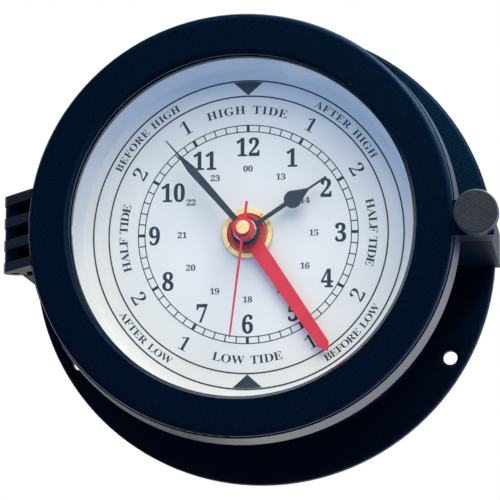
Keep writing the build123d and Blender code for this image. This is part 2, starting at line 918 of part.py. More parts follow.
def centre_wheel():
    """Centre wheel, which grips the cannon pinion through the clutch washer."""
    phase = mesh_phase(0, third_pinion_teeth, third_angle + half_turn, centre_wheel_teeth)
    body = gear(centre_wheel_teeth, centre_module, layer_4, layer_4 + wheel_thickness, phase)
    return body - disc(cannon_radius + running_clearance, layer_4 - overrun,
                       layer_4 + wheel_thickness + overrun)


def clutch_washer():
    """Sprung washer between the centre wheel and the middle plate."""
    low = layer_4 + wheel_thickness + running_clearance
    return ring(clutch_washer_radius, cannon_radius + fixed_clearance, low, low + clutch_washer_thickness)


def cannon_pinion():
    """Pipe of the minute hand, with the pinion that drives the motion work."""
    low = layer_4 - wheel_gap / 3
    high = dial_front + minute_hand_level + hand_thickness + pipe_stand
    body = disc(cannon_radius, low, high)
    body += gear(cannon_teeth, minute_module, layer_5, layer_5 + wheel_thickness)
    return body - disc(cannon_bore, low - overrun, high + overrun)


def minute_wheel_phase():
    """Phase of the minute wheel against the cannon pinion."""
    return mesh_phase(0, cannon_teeth, minute_wheel_angle, minute_wheel_teeth)


def minute_wheel():
    """Minute wheel and its pinion, on the stud of the middle plate."""
    body = gear(minute_wheel_teeth, minute_module, layer_5, layer_5 + wheel_thickness,
                minute_wheel_phase(), minute_at)
    body += gear(minute_pinion_teeth, hour_module, layer_5, layer_6 + wheel_thickness, 0, minute_at)
    return body - disc(stud_radius + running_clearance, layer_5 - overrun,
                       layer_6 + wheel_thickness + overrun, minute_at)


def hour_wheel():
    """Hour wheel with its pipe and the second ring of teeth that drives the tide hand."""
    phase = mesh_phase(0, minute_pinion_teeth, minute_wheel_angle + half_turn, hour_wheel_teeth)
    body = gear(hour_wheel_teeth, hour_module, layer_6, layer_7, phase)
    body += gear(hour_tide_teeth, tide_module, layer_7, layer_7 + wheel_thickness)
    high = dial_front + hour_hand_level + hand_thickness + pipe_stand
    body += disc(hour_pipe_radius, layer_6, high)
    return body - disc(hour_bore, layer_6 - overrun, high + overrun)


def tide_idler():
    """Idler whose two rings of teeth link the hour wheel to the tide wheel."""
    phase = mesh_phase(0, hour_tide_teeth, idler_angle, idler_teeth)
    split = layer_8 - wheel_gap / 2
    body = gear(idler_teeth, tide_module, layer_7, split, phase, idler_at)
    body += gear(idler_teeth, tide_wheel_module, split, layer_8 + wheel_thickness, 0, idler_at)
    return body - disc(stud_radius + running_clearance, layer_7 - overrun,
                       layer_8 + wheel_thickness + overrun, idler_at)


def tide_wheel():
    """Tide wheel, its collar and the pipe of the tide hand."""
    phase = mesh_phase(0, idler_teeth, idler_angle + half_turn, tide_wheel_teeth)
    body = gear(tide_wheel_teeth, tide_wheel_module, layer_8, layer_8 + wheel_thickness, phase)
    body += disc(bushing_collar_radius, layer_8, tide_collar_front)
    high = dial_front + tide_hand_level + hand_thickness + pipe_stand
    body += disc(tide_pipe_radius, layer_8, high)
    return body - disc(tide_bore, layer_8 - overrun, high + overrun)


def setting_knob():
    """Fluted knob on the back, with the pinion that turns the minute wheel."""
    high = cover_back - setting_knob_gap
    low = high - setting_knob_height
    body = disc(setting_knob_radius, low, high)
    flute = disc(setting_flute_radius, low - overrun, high + overrun, (0, setting_knob_radius))
    for cut in round_array(flute, setting_flute_count):
        body -= cut
    body = Pos(setting_at[0], setting_at[1], 0) * body
    phase = mesh_phase(minute_wheel_phase(), minute_wheel_teeth, minute_wheel_angle, setting_teeth)
    body += gear(setting_teeth, minute_module, layer_5, layer_5 + wheel_thickness, phase, setting_at)
    return body + disc(setting_arbor_radius, low, layer_5 + wheel_thickness, setting_at)


def core_ends():
    """Middle of the two bare ends of the core."""
    offset = core_half - core_end / 2
    return [(coil_x, rotor_at[1] - offset), (coil_x, rotor_at[1] + offset)]


def stator():
    """Soft iron stator: a ring round the magnet and two arms to the ends of the coil core."""
    low = stator_back
    high = low + stator_thickness
    hole = magnet_radius + stator_gap
    outer = hole + stator_ring_width
    x, y = rotor_at
    bar_right = coil_x - coil_width / 2 - seat_clearance
    bar_left = bar_right - stator_bar_width
    body = disc(outer, low, high, rotor_at)
    body += block(x, bar_right, y - outer, y + outer, low, high)
    body += block(bar_left, bar_right, y - core_half, y + core_half, low, high)
    for side in (-1, 1):
        inner = y + side * (core_half - core_end)
        edge = y + side * core_half
        reach = coil_x + core_width / 2
        body += block(bar_left, reach, min(inner, edge), max(inner, edge), low, high)
    body -= disc(hole, low - overrun, high + overrun, rotor_at)
    return body - block(x + magnet_radius, bar_right + overrun, y - stator_slot / 2, y + stator_slot / 2,
                        low - overrun, high + overrun)


def coil_core():
    """Iron core of the coil."""
    half = core_width / 2
    y = rotor_at[1]
    return block(coil_x - half, coil_x + half, y - core_half, y + core_half,
                 core_back, core_back + core_thickness)


def coil():
    """Winding on the core, as its outer shape."""
    middle = core_back + core_thickness / 2
    y = rotor_at[1]
    winding = Cylinder(coil_width / 2, coil_length)
    body = Pos(coil_x, y, middle) * Rot(90, 0, 0) * winding
    gap = fixed_clearance
    half = core_width / 2 + gap
    return body - block(coil_x - half, coil_x + half, y - coil_length, y + coil_length,
                        core_back - gap, core_back + core_thickness + gap)


def board_level():
    """Back face of the circuit board."""
    return housing_back + board_stand


def board_feet():
    """Bosses of the cover under the circuit board."""
    reach = board_half - 2 * boss_radius
    return [(board_x, board_middle - reach), (board_x, board_middle + reach)]


def circuit_board():
    """Circuit board of the quartz oscillator."""
    low = board_level()
    return block(board_x - board_width / 2, board_x + board_width / 2,
                 board_middle - board_half, board_middle + board_half, low, low + board_thickness)


def crystal():
    """Quartz crystal in its can, lying on the board."""
    low = board_level() + board_thickness
    can = Cylinder(crystal_radius, crystal_length)
    return Pos(board_x, board_middle + board_half / 2, low + crystal_radius) * Rot(90, 0, 0) * can


def chip():
    """Moulded control chip on the board."""
    low = board_level() + board_thickness
    middle = board_middle - board_half / 2
    half = chip_size / 2
    return block(board_x - half, board_x + half, middle - half, middle + half,
                 low, low + chip_height)


def battery():
    """AA cell, lying across the movement with its tip to the right."""
    can_length = battery_length - battery_tip_length
    can = Cylinder(battery_radius, can_length, align=(Align.CENTER, Align.CENTER, Align.MIN))
    tip = Cylinder(battery_tip_radius, battery_tip_length, align=(Align.CENTER, Align.CENTER, Align.MIN))
    cell = can + Pos(0, 0, can_length) * tip
    return Pos(battery_left, battery_y, battery_z) * Rot(0, 90, 0) * cell


def plus_contact():
    """Flat contact at the tip of the cell."""
    low = battery_right + end_clearance
    half_width = contact_width / 2
    half_height = contact_height / 2
    return block(low, low + contact_thickness, battery_y - half_width, battery_y + half_width,
                 battery_z - half_height, battery_z + half_height)


def minus_contact():
    """Bent leaf that presses on the flat end of the cell."""
    back = bay_left + end_clearance
    front = battery_left - end_clearance
    half = contact_width / 2
    thick = contact_thickness
    reach = front - back
    slant = hypot(reach, half)
    top = battery_y + half
    outline = [
        (back, battery_y - half),
        (back + thick, battery_y - half),
        (back + thick, top - thick * (slant + half) / reach),
        (front - thick * half / slant, battery_y - thick * reach / slant),
        (front, battery_y),
        (back, top),
    ]
    half_height = contact_height / 2
    return Pos(0, 0, battery_z - half_height) * extrude(flat(outline), amount=contact_height)


def aimed(outline, level, angle):
    """Hand cut from sheet: an outline that points to 12 o'clock, turned clockwise to its angle."""
    blade = Pos(0, 0, dial_front + level) * extrude(outline, amount=hand_thickness)
    return Rot(0, 0, -angle) * blade


def mirrored_outline(half_points):
    """Closed outline from points on its right side, given as half width and distance."""
    left = [(-x, y) for x, y in reversed(half_points) if x > 0]
    return flat(half_points + left)


def tide_hand():
    """Broad hand with a pointed end."""
    shoulder = tide_reach - tide_point_length
    blade = mirrored_outline([(tide_root_width / 2, 0), (tide_tip_width / 2, shoulder), (0, tide_reach)])
    outline = blade + Circle(tide_hub_radius) - Circle(tide_pipe_radius + fixed_clearance)
    return aimed(outline, tide_hand_level, tide_angle)


def hour_hand():
    """Hand with a drop near its middle and a needle end."""
    stem = mirrored_outline([(hour_stem_width / 2, 0), (hour_stem_width / 2, hour_drop_centre)])
    half = hour_needle_width / 2
    needle = mirrored_outline([(half, hour_drop_centre), (half, hour_reach - half), (0, hour_reach)])
    side, rise = toward(hour_drop_radius, hour_drop_shoulder_angle)
    shoulder = hour_drop_centre + rise
    neck = hour_drop_radius * hour_drop_neck_share
    neck_at = hour_drop_centre + hour_drop_radius * hour_drop_neck_height_share
    right = Spline((side, shoulder), (neck, neck_at), (half, hour_needle_start))
    left = Spline((-side, shoulder), (-neck, neck_at), (-half, hour_needle_start))
    foot = Line((-side, shoulder), (side, shoulder))
    top = Line((-half, hour_needle_start), (half, hour_needle_start))
    drop = make_face(Curve() + [right, left, foot, top])
    outline = stem + needle + drop + Pos(0, hour_drop_centre) * Circle(hour_drop_radius)
    outline = outline + Circle(hour_hub_radius) - Circle(hour_pipe_radius + fixed_clearance)
    return aimed(outline, hour_hand_level, hour_angle)


def minute_hand():
    """Long hand whose blade widens and then narrows to a needle."""
    blade = mirrored_outline([
        (minute_root_width / 2, 0),
        (minute_blade_width / 2, minute_blade_at),
        (minute_needle_width / 2, minute_shoulder_at),
        (minute_tip_width / 2, minute_reach - minute_tip_width),
        (0, minute_reach),
    ])
    outline = blade + Circle(minute_hub_radius) - Circle(cannon_radius + fixed_clearance)
    return aimed(outline, minute_hand_level, minute_angle)


def minute_collet():
    """Fluted collet under the minute hand."""
    high = dial_front + minute_hand_level
    low = high - collet_height
    body = ring(collet_radius, cannon_radius + fixed_clearance, low, high)
    flute = disc(collet_flute_radius, low - overrun, high + overrun, (0, collet_radius))
    for cut in round_array(flute, collet_flute_count):
        body -= cut
    return body


def second_hand():
    """Thin hand with a tail and a round hub."""
    blade = mirrored_outline([
        (second_root_width / 2, -second_tail),
        (second_root_width / 2, 0),
        (second_tip_width / 2, second_reach),
    ])
    outline = blade + Circle(second_hub_radius) - Circle(second_arbor_radius + fixed_clearance)
    return aimed(outline, second_hand_level, second_angle)


def second_cap():
    """Brass cap on the hub of the second hand."""
    low = dial_front + second_hand_level + hand_thickness
    high = low + cap_height
    profile = flat([(0, low), (cap_radius, low), (cap_radius, high), (0, high)])
    return turned(softened(profile, (cap_radius, high), cap_round))


pieces = {
    "case_body": case_body,
    "case_seal": case_seal,
    "hinge_pin": hinge_pin,
    "threaded_insert": threaded_insert,
    "bezel_ring": bezel_ring,
    "glass_lens": lens,
    "lens_gasket": lens_gasket,
    "lens_retainer": lens_retainer,
    "thumb_screw": thumb_screw,
    "screw_clip": screw_clip,
    "dial_plate": dial_plate,
    "dial_screws": dial_screws,
    "reflector_ring": reflector_ring,
    "dial_cushion": dial_cushion,
    "threaded_bushing": bushing,
    "dial_nut": dial_nut,
    "movement_housing": movement_housing,
    "movement_cover": movement_cover,
    "movement_screws": movement_screws,
    "train_plate": train_plate,
    "middle_plate": middle_plate,
    "rotor_pinion": rotor_pinion,
    "rotor_magnet": rotor_magnet,
    "step_wheel": step_wheel,
    "second_wheel": second_wheel,
    "third_wheel": third_wheel,
    "centre_wheel": centre_wheel,
    "clutch_washer": clutch_washer,
    "cannon_pinion": cannon_pinion,
    "minute_wheel": minute_wheel,
    "hour_wheel": hour_wheel,
    "tide_idler": tide_idler,
    "tide_wheel": tide_wheel,
    "setting_knob": setting_knob,
    "motor_stator": stator,
    "coil_core": coil_core,
    "motor_coil": coil,
    "circuit_board": circuit_board,
    "quartz_crystal": crystal,
    "control_chip": chip,
    "battery": battery,
    "plus_contact": plus_contact,
    "minus_contact": minus_contact,
    "tide_hand": tide_hand,
    "hour_hand": hour_hand,
    "minute_hand": minute_hand,
    "minute_collet": minute_collet,
    "second_hand": second_hand,
    "second_cap": second_cap,
}

os.makedirs("parts", exist_ok=True)
for name, make in pieces.items():
    export_step(Rot(90, 0, 0) * make(), f"parts/{name}.step")
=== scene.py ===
"""Tide clock: looks, dial print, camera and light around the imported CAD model.

Everything is in metres in the row frame: the dial faces -Y, 12 o'clock is +Z and 3 o'clock is +X.
The print is laid out in millimetres on the dial, x towards 3 o'clock and y towards 12, and becomes metres when
its mesh is made.
"""
import math

import bpy
from mathutils import Matrix, Vector


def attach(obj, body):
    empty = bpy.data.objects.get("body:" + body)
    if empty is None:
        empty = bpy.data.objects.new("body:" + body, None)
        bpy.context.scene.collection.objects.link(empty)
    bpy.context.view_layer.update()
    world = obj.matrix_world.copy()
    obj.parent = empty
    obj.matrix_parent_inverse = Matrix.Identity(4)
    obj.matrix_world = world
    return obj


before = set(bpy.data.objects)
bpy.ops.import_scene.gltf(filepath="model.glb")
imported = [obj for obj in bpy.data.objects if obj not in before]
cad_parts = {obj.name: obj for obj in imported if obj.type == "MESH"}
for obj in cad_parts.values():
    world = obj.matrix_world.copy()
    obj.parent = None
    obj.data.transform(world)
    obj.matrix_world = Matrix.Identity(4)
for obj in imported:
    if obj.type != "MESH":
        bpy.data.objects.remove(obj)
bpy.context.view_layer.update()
MM = 0.001


# ---------------------------------------------------------------- camera and surroundings
def add_camera():
    """Camera as fitted to the outlines in the photograph."""
    data = bpy.data.cameras.new("camera")
    data.lens = 205.53
    data.sensor_width = 36.0
    data.clip_start = 0.05
    data.clip_end = 20.0
    camera = bpy.data.objects.new("camera", data)
    bpy.context.scene.collection.objects.link(camera)
    azimuth, elevation, distance = math.radians(7.87), math.radians(-9.86), 0.85
    aim = Vector((0.00064, -0.0385, -0.00487))
    back = Vector((math.sin(azimuth) * math.cos(elevation), -math.cos(azimuth) * math.cos(elevation),
                   math.sin(elevation)))
    turn = (-back).to_track_quat("-Z", "Y").to_matrix().to_4x4()
    roll = Matrix.Rotation(math.radians(0.21), 4, "Z")
    camera.matrix_world = Matrix.Translation(aim + distance * back) @ turn @ roll
    bpy.context.scene.camera = camera


def maths(tree, operation, first, second=0):
    """Result of one sum in a node tree. Each term is a number or a socket."""
    node = tree.nodes.new("ShaderNodeMath")
    node.operation = operation
    for socket, value in zip(node.inputs, (first, second)):
        if isinstance(value, (int, float)):
            socket.default_value = value
        else:
            tree.links.new(value, socket)
    return node.outputs[0]


def add_world():
    """Pale blue room light on the object; plain white where the camera, metal or glass sees past it."""
    world = bpy.data.worlds.new("studio")
    world.use_nodes = True
    bpy.context.scene.world = world
    tree = world.node_tree
    tree.nodes.clear()
    out = tree.nodes.new("ShaderNodeOutputWorld")
    mix = tree.nodes.new("ShaderNodeMixShader")
    room = tree.nodes.new("ShaderNodeBackground")
    room.inputs["Color"].default_value = (0.47, 0.67, 1.0, 1)
    room.inputs["Strength"].default_value = 0.82
    seen = tree.nodes.new("ShaderNodeBackground")
    seen.inputs["Color"].default_value = (1, 1, 1, 1)
    seen.inputs["Strength"].default_value = 1.0
    path = tree.nodes.new("ShaderNodeLightPath")
    direct = maths(tree, "MAXIMUM", path.outputs["Is Camera Ray"], path.outputs["Is Transmission Ray"])
    shown = maths(tree, "MAXIMUM", direct, path.outputs["Is Glossy Ray"])
    no_bounce_yet = maths(tree, "LESS_THAN", path.outputs["Diffuse Depth"], 0.5)
    tree.links.new(maths(tree, "MULTIPLY", shown, no_bounce_yet), mix.inputs["Fac"])
    tree.links.new(room.outputs[0], mix.inputs[1])
    tree.links.new(seen.outputs[0], mix.inputs[2])
    tree.links.new(mix.outputs[0], out.inputs["Surface"])


def add_lamp(name, place, aim, size, watts, colour):
    """Area lamp that the camera doesn't see. Its size is given along its own x and y."""
    data = bpy.data.lights.new(name, "AREA")
    data.shape = "RECTANGLE"
    data.size, data.size_y = size
    data.energy = watts
    data.color = colour
    lamp = bpy.data.objects.new(name, data)
    bpy.context.scene.collection.objects.link(lamp)
    lamp.visible_camera = False
    lamp.location = place
    lamp.rotation_euler = (Vector(aim) - Vector(place)).to_track_quat("-Z", "Y").to_euler()


# ---------------------------------------------------------------- material parts
def new_material(name):
    material = bpy.data.materials.new(name)
    material.use_nodes = True
    tree = material.node_tree
    tree.nodes.clear()
    out = tree.nodes.new("ShaderNodeOutputMaterial")
    shader = tree.nodes.new("ShaderNodeBsdfPrincipled")
    tree.links.new(shader.outputs["BSDF"], out.inputs["Surface"])
    return material, tree, shader


def shader_of(material):
    return next(node for node in material.node_tree.nodes if node.type == "BSDF_PRINCIPLED")


def object_place(tree):
    """Place on the piece as separate X, Y and Z sockets."""
    where = tree.nodes.new("ShaderNodeTexCoord")
    split = tree.nodes.new("ShaderNodeSeparateXYZ")
    tree.links.new(where.outputs["Object"], split.inputs["Vector"])
    return split.outputs


def noise(tree, scale, detail):
    where = tree.nodes.new("ShaderNodeTexCoord")
    texture = tree.nodes.new("ShaderNodeTexNoise")
    texture.inputs["Scale"].default_value = scale
    texture.inputs["Detail"].default_value = detail
    tree.links.new(where.outputs["Object"], texture.inputs["Vector"])
    return texture.outputs["Fac"]


def ramp(tree, value, stops):
    """Colour that follows a value through (place, colour) stops."""
    node = tree.nodes.new("ShaderNodeValToRGB")
    element = node.color_ramp.elements
    while len(element) < len(stops):
        element.new(0.5)
    for item, (place, colour) in zip(element, stops):
        item.position = place
        item.color = (*colour, 1)
    tree.links.new(value, node.inputs["Fac"])
    return node.outputs["Color"]


def spread(tree, value, low, high):
    """The usual range of a noise, 0.3 to 0.7, spread from low to high."""
    node = tree.nodes.new("ShaderNodeMapRange")
    node.inputs["From Min"].default_value = 0.3
    node.inputs["From Max"].default_value = 0.7
    node.inputs["To Min"].default_value = low
    node.inputs["To Max"].default_value = high
    tree.links.new(value, node.inputs["Value"])
    return node.outputs["Result"]


def bump(tree, shader, value, strength, distance):
    node = tree.nodes.new("ShaderNodeBump")
    node.inputs["Strength"].default_value = strength
    node.inputs["Distance"].default_value = distance
    tree.links.new(value, node.inputs["Height"])
    tree.links.new(node.outputs["Normal"], shader.inputs["Normal"])


def rings(tree, centre, pitch):
    """Height that rises and falls with the distance from an axis along Y, as a lathe leaves it."""
    place = object_place(tree)
    across = maths(tree, "SUBTRACT", place["X"], centre[0])
    up = maths(tree, "SUBTRACT", place["Z"], centre[1])
    squares = maths(tree, "ADD", maths(tree, "MULTIPLY", across, across), maths(tree, "MULTIPLY", up, up))
    return maths(tree, "SINE", maths(tree, "MULTIPLY", maths(tree, "SQRT", squares), math.tau / pitch))


# ---------------------------------------------------------------- materials
MOTTLE_DETAIL, FINE_DETAIL = 4.0, 2.0
MOTTLE_STOPS = 0.36, 0.64       # places of the dark and the light colour in the noise
WEAR_SCALE = 2.3                # roughness varies finer than colour by this factor
GRAIN_STRENGTH, RING_STRENGTH = 0.6, 0.7


def finish_of(name, dark, light, scale, rough, grain, depth, **sockets):
    """Material with mottled colour, uneven roughness and a fine grain of a given depth.

    The scales of the mottle and the grain are per metre. Other sockets are named with _ for a space.
    """
    material, tree, shader = new_material(name)
    colour = ramp(tree, noise(tree, scale, MOTTLE_DETAIL), list(zip(MOTTLE_STOPS, (dark, light))))
    tree.links.new(colour, shader.inputs["Base Color"])
    wear = noise(tree, scale * WEAR_SCALE, FINE_DETAIL)
    tree.links.new(spread(tree, wear, *rough), shader.inputs["Roughness"])
    bump(tree, shader, noise(tree, grain, FINE_DETAIL), GRAIN_STRENGTH, depth)
    for socket, value in sockets.items():
        shader.inputs[socket.replace("_", " ")].default_value = value
    return material


def turned(material, centre, pitch, depth):
    """The same material with fine turned rings in place of its grain."""
    material = material.copy()
    material.name = material.name + "_turned"
    tree = material.node_tree
    bump(tree, shader_of(material), rings(tree, centre, pitch), RING_STRENGTH, depth)
    return material


def grazing_coat(material, weight, rough):
    """Coat gloss whose strength follows the angle a face is seen at: real reflections, turned up into a painted
    sheen on faces seen along their surface.
    """
    tree, shader = material.node_tree, shader_of(material)
    facing = tree.nodes.new("ShaderNodeLayerWeight")
    stops = ((0.55, 0.0), (0.66, weight), (0.78, weight), (0.83, 0.2 * weight))
    shown = ramp(tree, facing.outputs["Facing"], [(place, (value, value, value)) for place, value in stops])
    tree.links.new(shown, shader.inputs["Coat Weight"])
    shader.inputs["Coat Roughness"].default_value = rough


def glass_material():
    """Clear glass of low gloss, which lets light through to the dial without caustics."""
    material, tree, shader = new_material("clear_glass")
    out = tree.nodes["Material Output"]
    tint = ramp(tree, noise(tree, 20, FINE_DETAIL), [(0.3, (0.985, 0.995, 0.995)), (0.7, (0.995, 1.0, 1.0))])
    tree.links.new(tint, shader.inputs["Base Color"])
    tree.links.new(spread(tree, noise(tree, 60, FINE_DETAIL), 0.0, 0.015), shader.inputs["Roughness"])
    shader.inputs["Transmission Weight"].default_value = 1.0
    shader.inputs["IOR"].default_value = 1.15
    clear = tree.nodes.new("ShaderNodeBsdfTransparent")
    mix = tree.nodes.new("ShaderNodeMixShader")
    path = tree.nodes.new("ShaderNodeLightPath")
    passing = maths(tree, "MAXIMUM", path.outputs["Is Shadow Ray"], path.outputs["Is Diffuse Ray"])
    tree.links.new(passing, mix.inputs["Fac"])
    tree.links.new(shader.outputs["BSDF"], mix.inputs[1])
    tree.links.new(clear.outputs["BSDF"], mix.inputs[2])
    tree.links.new(mix.outputs["Shader"], out.inputs["Surface"])
    return material


def two_tone(material, split_at, above):
    """Second colour on the part of the piece beyond a place along X."""
    tree, shader = material.node_tree, shader_of(material)
    first = shader.inputs["Base Color"].links[0].from_socket
    below_above = maths(tree, "GREATER_THAN", object_place(tree)["X"], split_at)
    darker = tuple(0.8 * part for part in above)
    second = ramp(tree, noise(tree, 500, 3.0), [(0.3, above), (0.7, darker)])
    mix = tree.nodes.new("ShaderNodeMix")
    mix.data_type = "RGBA"
    tree.links.new(below_above, mix.inputs["Factor"])
    tree.links.new(first, mix.inputs["A"])
    tree.links.new(second, mix.inputs["B"])
    tree.links.new(mix.outputs["Result"], shader.inputs["Base Color"])


paint = {"scale": 2000, "rough": (0.36, 0.48), "grain": 2600, "depth": 0.00007,
         "Specular_IOR_Level": 0.02, "Specular_Tint": (0.15, 0.6, 1.0, 1)}
# The case's powder coat is a darker copy of the bezel's: painted shade for the case and flange in the bezel's
# shadow.
case_paint = finish_of("case_paint", dark=(0.0003, 0.0012, 0.0040), light=(0.0008, 0.0050, 0.0115), **paint)
bezel_paint = finish_of("bezel_paint", dark=(0.0003, 0.0018, 0.0078), light=(0.0007, 0.0068, 0.0180), **paint)
# painted sheen on faces seen edge-on: faint on the case, strong on the bezel, which gives its side a light band
grazing_coat(case_paint, weight=0.02, rough=0.3)
grazing_coat(bezel_paint, weight=0.85, rough=0.3)
rubber = finish_of("rubber", dark=(0.012, 0.012, 0.013), light=(0.022, 0.022, 0.023),
                   scale=400, rough=(0.7, 0.85), grain=2500, depth=0.00003)
steel = finish_of("steel", dark=(0.50, 0.50, 0.51), light=(0.62, 0.62, 0.62),
                  scale=300, rough=(0.22, 0.36), grain=4000, depth=0.00001, Metallic=1.0)
brass = finish_of("brass", dark=(0.50, 0.40, 0.24), light=(0.64, 0.53, 0.34),
                  scale=300, rough=(0.3, 0.45), grain=3500, depth=0.00001, Metallic=1.0)
knob = finish_of("knob_dark", dark=(0.010, 0.016, 0.023), light=(0.020, 0.029, 0.038),
                 scale=1500, rough=(0.38, 0.5), grain=3000, depth=0.00001, Specular_IOR_Level=0.15)
dial = finish_of("dial_white", dark=(0.79, 0.83, 0.87), light=(0.82, 0.86, 0.90),
                 scale=60, rough=(0.45, 0.55), grain=5000, depth=0.000004, Specular_IOR_Level=0.1)
reflector = finish_of("reflector_white", dark=(0.76, 0.80, 0.86), light=(0.80, 0.84, 0.89),
                      scale=80, rough=(0.4, 0.5), grain=3000, depth=0.000006, Specular_IOR_Level=0.1)
ink = finish_of("ink_slate", dark=(0.022, 0.045, 0.070), light=(0.030, 0.056, 0.084),
                scale=700, rough=(0.5, 0.62), grain=4000, depth=0.000003, Specular_IOR_Level=0.1)
red = finish_of("hand_red", dark=(0.68, 0.043, 0.078), light=(0.73, 0.055, 0.095),
                scale=300, rough=(0.42, 0.52), grain=3000, depth=0.000006, Specular_IOR_Level=0.1)
slate = finish_of("hand_slate", dark=(0.024, 0.048, 0.075), light=(0.031, 0.060, 0.092),
                  scale=300, rough=(0.4, 0.5), grain=3000, depth=0.000006, Specular_IOR_Level=0.1)
silver = finish_of("collet_silver", dark=(0.62, 0.62, 0.60), light=(0.74, 0.73, 0.70),
                   scale=400, rough=(0.2, 0.35), grain=3500, depth=0.000008, Metallic=1.0)
black_plastic = finish_of("moulded_black", dark=(0.016, 0.016, 0.017), light=(0.026, 0.026, 0.028),
                          scale=200, rough=(0.45, 0.6), grain=2200, depth=0.00004)
pale_plastic = finish_of("moulded_pale", dark=(0.62, 0.62, 0.58), light=(0.70, 0.70, 0.66),
                         scale=200, rough=(0.4, 0.55), grain=2200, depth=0.00002)
copper = finish_of("winding", dark=(0.42, 0.16, 0.07), light=(0.60, 0.26, 0.12),
                   scale=700, rough=(0.25, 0.4), grain=2500, depth=0.00003, Metallic=0.8)
board = finish_of("board_green", dark=(0.010, 0.11, 0.045), light=(0.016, 0.15, 0.06),
                  scale=500, rough=(0.3, 0.42), grain=2500, depth=0.00002)
magnet = finish_of("magnet", dark=(0.09, 0.09, 0.10), light=(0.15, 0.15, 0.16),
                   scale=500, rough=(0.4, 0.55), grain=2500, depth=0.00002, Metallic=0.6)
sleeve = finish_of("cell_sleeve", dark=(0.025, 0.045, 0.075), light=(0.032, 0.056, 0.09),
                   scale=150, rough=(0.24, 0.34), grain=2500, depth=0.00001)
two_tone(sleeve, split_at=0.014, above=(0.55, 0.33, 0.13))
glass = glass_material()
turned_brass = turned(brass, centre=(0, 0), pitch=0.00045, depth=0.000008)
turned_knob = turned(knob, centre=(0.0693, 0.0008), pitch=0.0007, depth=0.00002)

finishes = {
    "case_body": case_paint, "case_seal": rubber, "hinge_pin": steel, "threaded_insert": brass,
    "bezel_ring": bezel_paint, "glass_lens": glass, "lens_gasket": rubber, "lens_retainer": bezel_paint,
    "thumb_screw": turned_knob, "screw_clip": steel, "dial_plate": dial, "dial_screws": steel,
    "reflector_ring": reflector, "dial_cushion": rubber, "threaded_bushing": brass, "dial_nut": turned_brass,
    "movement_housing": black_plastic, "movement_cover": black_plastic, "movement_screws": steel,
    "train_plate": pale_plastic, "middle_plate": pale_plastic, "rotor_pinion": steel,
    "rotor_magnet": magnet, "step_wheel": pale_plastic, "second_wheel": steel, "third_wheel": pale_plastic,
    "centre_wheel": pale_plastic, "clutch_washer": steel, "cannon_pinion": brass, "minute_wheel": pale_plastic,
    "hour_wheel": brass, "tide_idler": pale_plastic, "tide_wheel": brass, "setting_knob": pale_plastic,
    "motor_stator": steel, "coil_core": steel, "motor_coil": copper, "circuit_board": board,
    "quartz_crystal": steel, "control_chip": black_plastic, "battery": sleeve, "plus_contact": steel,
    "minus_contact": steel, "tide_hand": red, "hour_hand": slate, "minute_hand": slate,
    "minute_collet": silver, "second_hand": red, "second_cap": turned_brass,
}
for node, material in finishes.items():
    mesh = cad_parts[node].data
    mesh.materials.clear()
    mesh.materials.append(material)


# ---------------------------------------------------------------- dial print, all in millimetres
DIAL_FRONT = 38.5                       # distance of the dial's face from the wall
PRINT_LOW, PRINT_HIGH = -0.01, 0.03     # the ink starts inside the dial and stands above it
BOLD, DAY_BOLD, BOOK = 0.012, 0.006, -0.002     # how far a letter's outline is moved outward, in ems
WORD_SPACE = 0.6                        # space between words as a share of the letters' height
WORD_WIDTH, TIDE_DIGIT_WIDTH = 1.18, 1.05       # letters are widened by these factors
SCALE_RINGS = (46.45, 46.92), (41.75, 42.2), (32.9, 33.2), (30.9, 31.2)
MINUTE_TRACK = 31.05, 33.05
FIVE_MINUTE_WIDTH, MINUTE_WIDTH = 0.9, 0.34
TRIANGLE_TIP = 0, 42.25
TRIANGLE_CORNER, TRIANGLE_CURVE, TRIANGLE_TOP = (4.4, 46.15), (2.2, 46.33), (0, 46.4)
HOUR_RADII = 26.5, 27.1, 27.8, 27.4, 27.3, 27.1, 27.3, 27.7, 28.2, 26.1, 26.1, 26.5     # from 1 to 12 o'clock
DAY_RADIUS = 19.8
TIDE_DIGIT_HEIGHT = 4.35
TIDE_DIGIT_FOOT, TIDE_DIGIT_FOOT_BELOW = 35.6, -39.95
TIDE_DIGIT_WEIGHT = {"1": -0.012, "2": -0.008}
TIDE_DIGITS = (30, "1"), (60, "2"), (120, "2"), (150, "1"), (210, "1"), (240, "2"), (300, "2"), (330, "1")
TIDE_WORDS = (  # text, middle and half of the span in degrees, radius of the foot, height, tops towards the centre
    ("HIGH TIDE", -0.5, 18.7, 36.6, 2.4, False),
    ("LOW TIDE", 180, 15.9, 39.1, 2.4, True),
    ("HALF TIDE", -91, 15.8, 36.4, 2.4, False),
    ("HALF TIDE", 90.4, 15.6, 36.4, 2.4, False),
    ("BEFORE HIGH", -45.8, 17.4, 43.15, 2.1, False),
    ("AFTER HIGH", 43.5, 16.0, 43.15, 2.1, False),
    ("AFTER LOW", 224.7, 13.8, 45.4, 2.1, True),
    ("BEFORE LOW", 134.2, 14.5, 45.4, 2.1, True),
)
SHADE_RING = 5.75, 6.08
SHADE_RING_LOW, SHADE_RING_HEIGHT = 39.2, 0.12      # the step of the brass nut, and the dark ring of painted shade that lies in it
glyphs = {}


def serif(character):
    """The bold serif form of a digit or a capital letter."""
    if character.isdigit():
        return chr(0x1D7CE + int(character))
    return chr(0x1D400 + ord(character) - ord("A"))


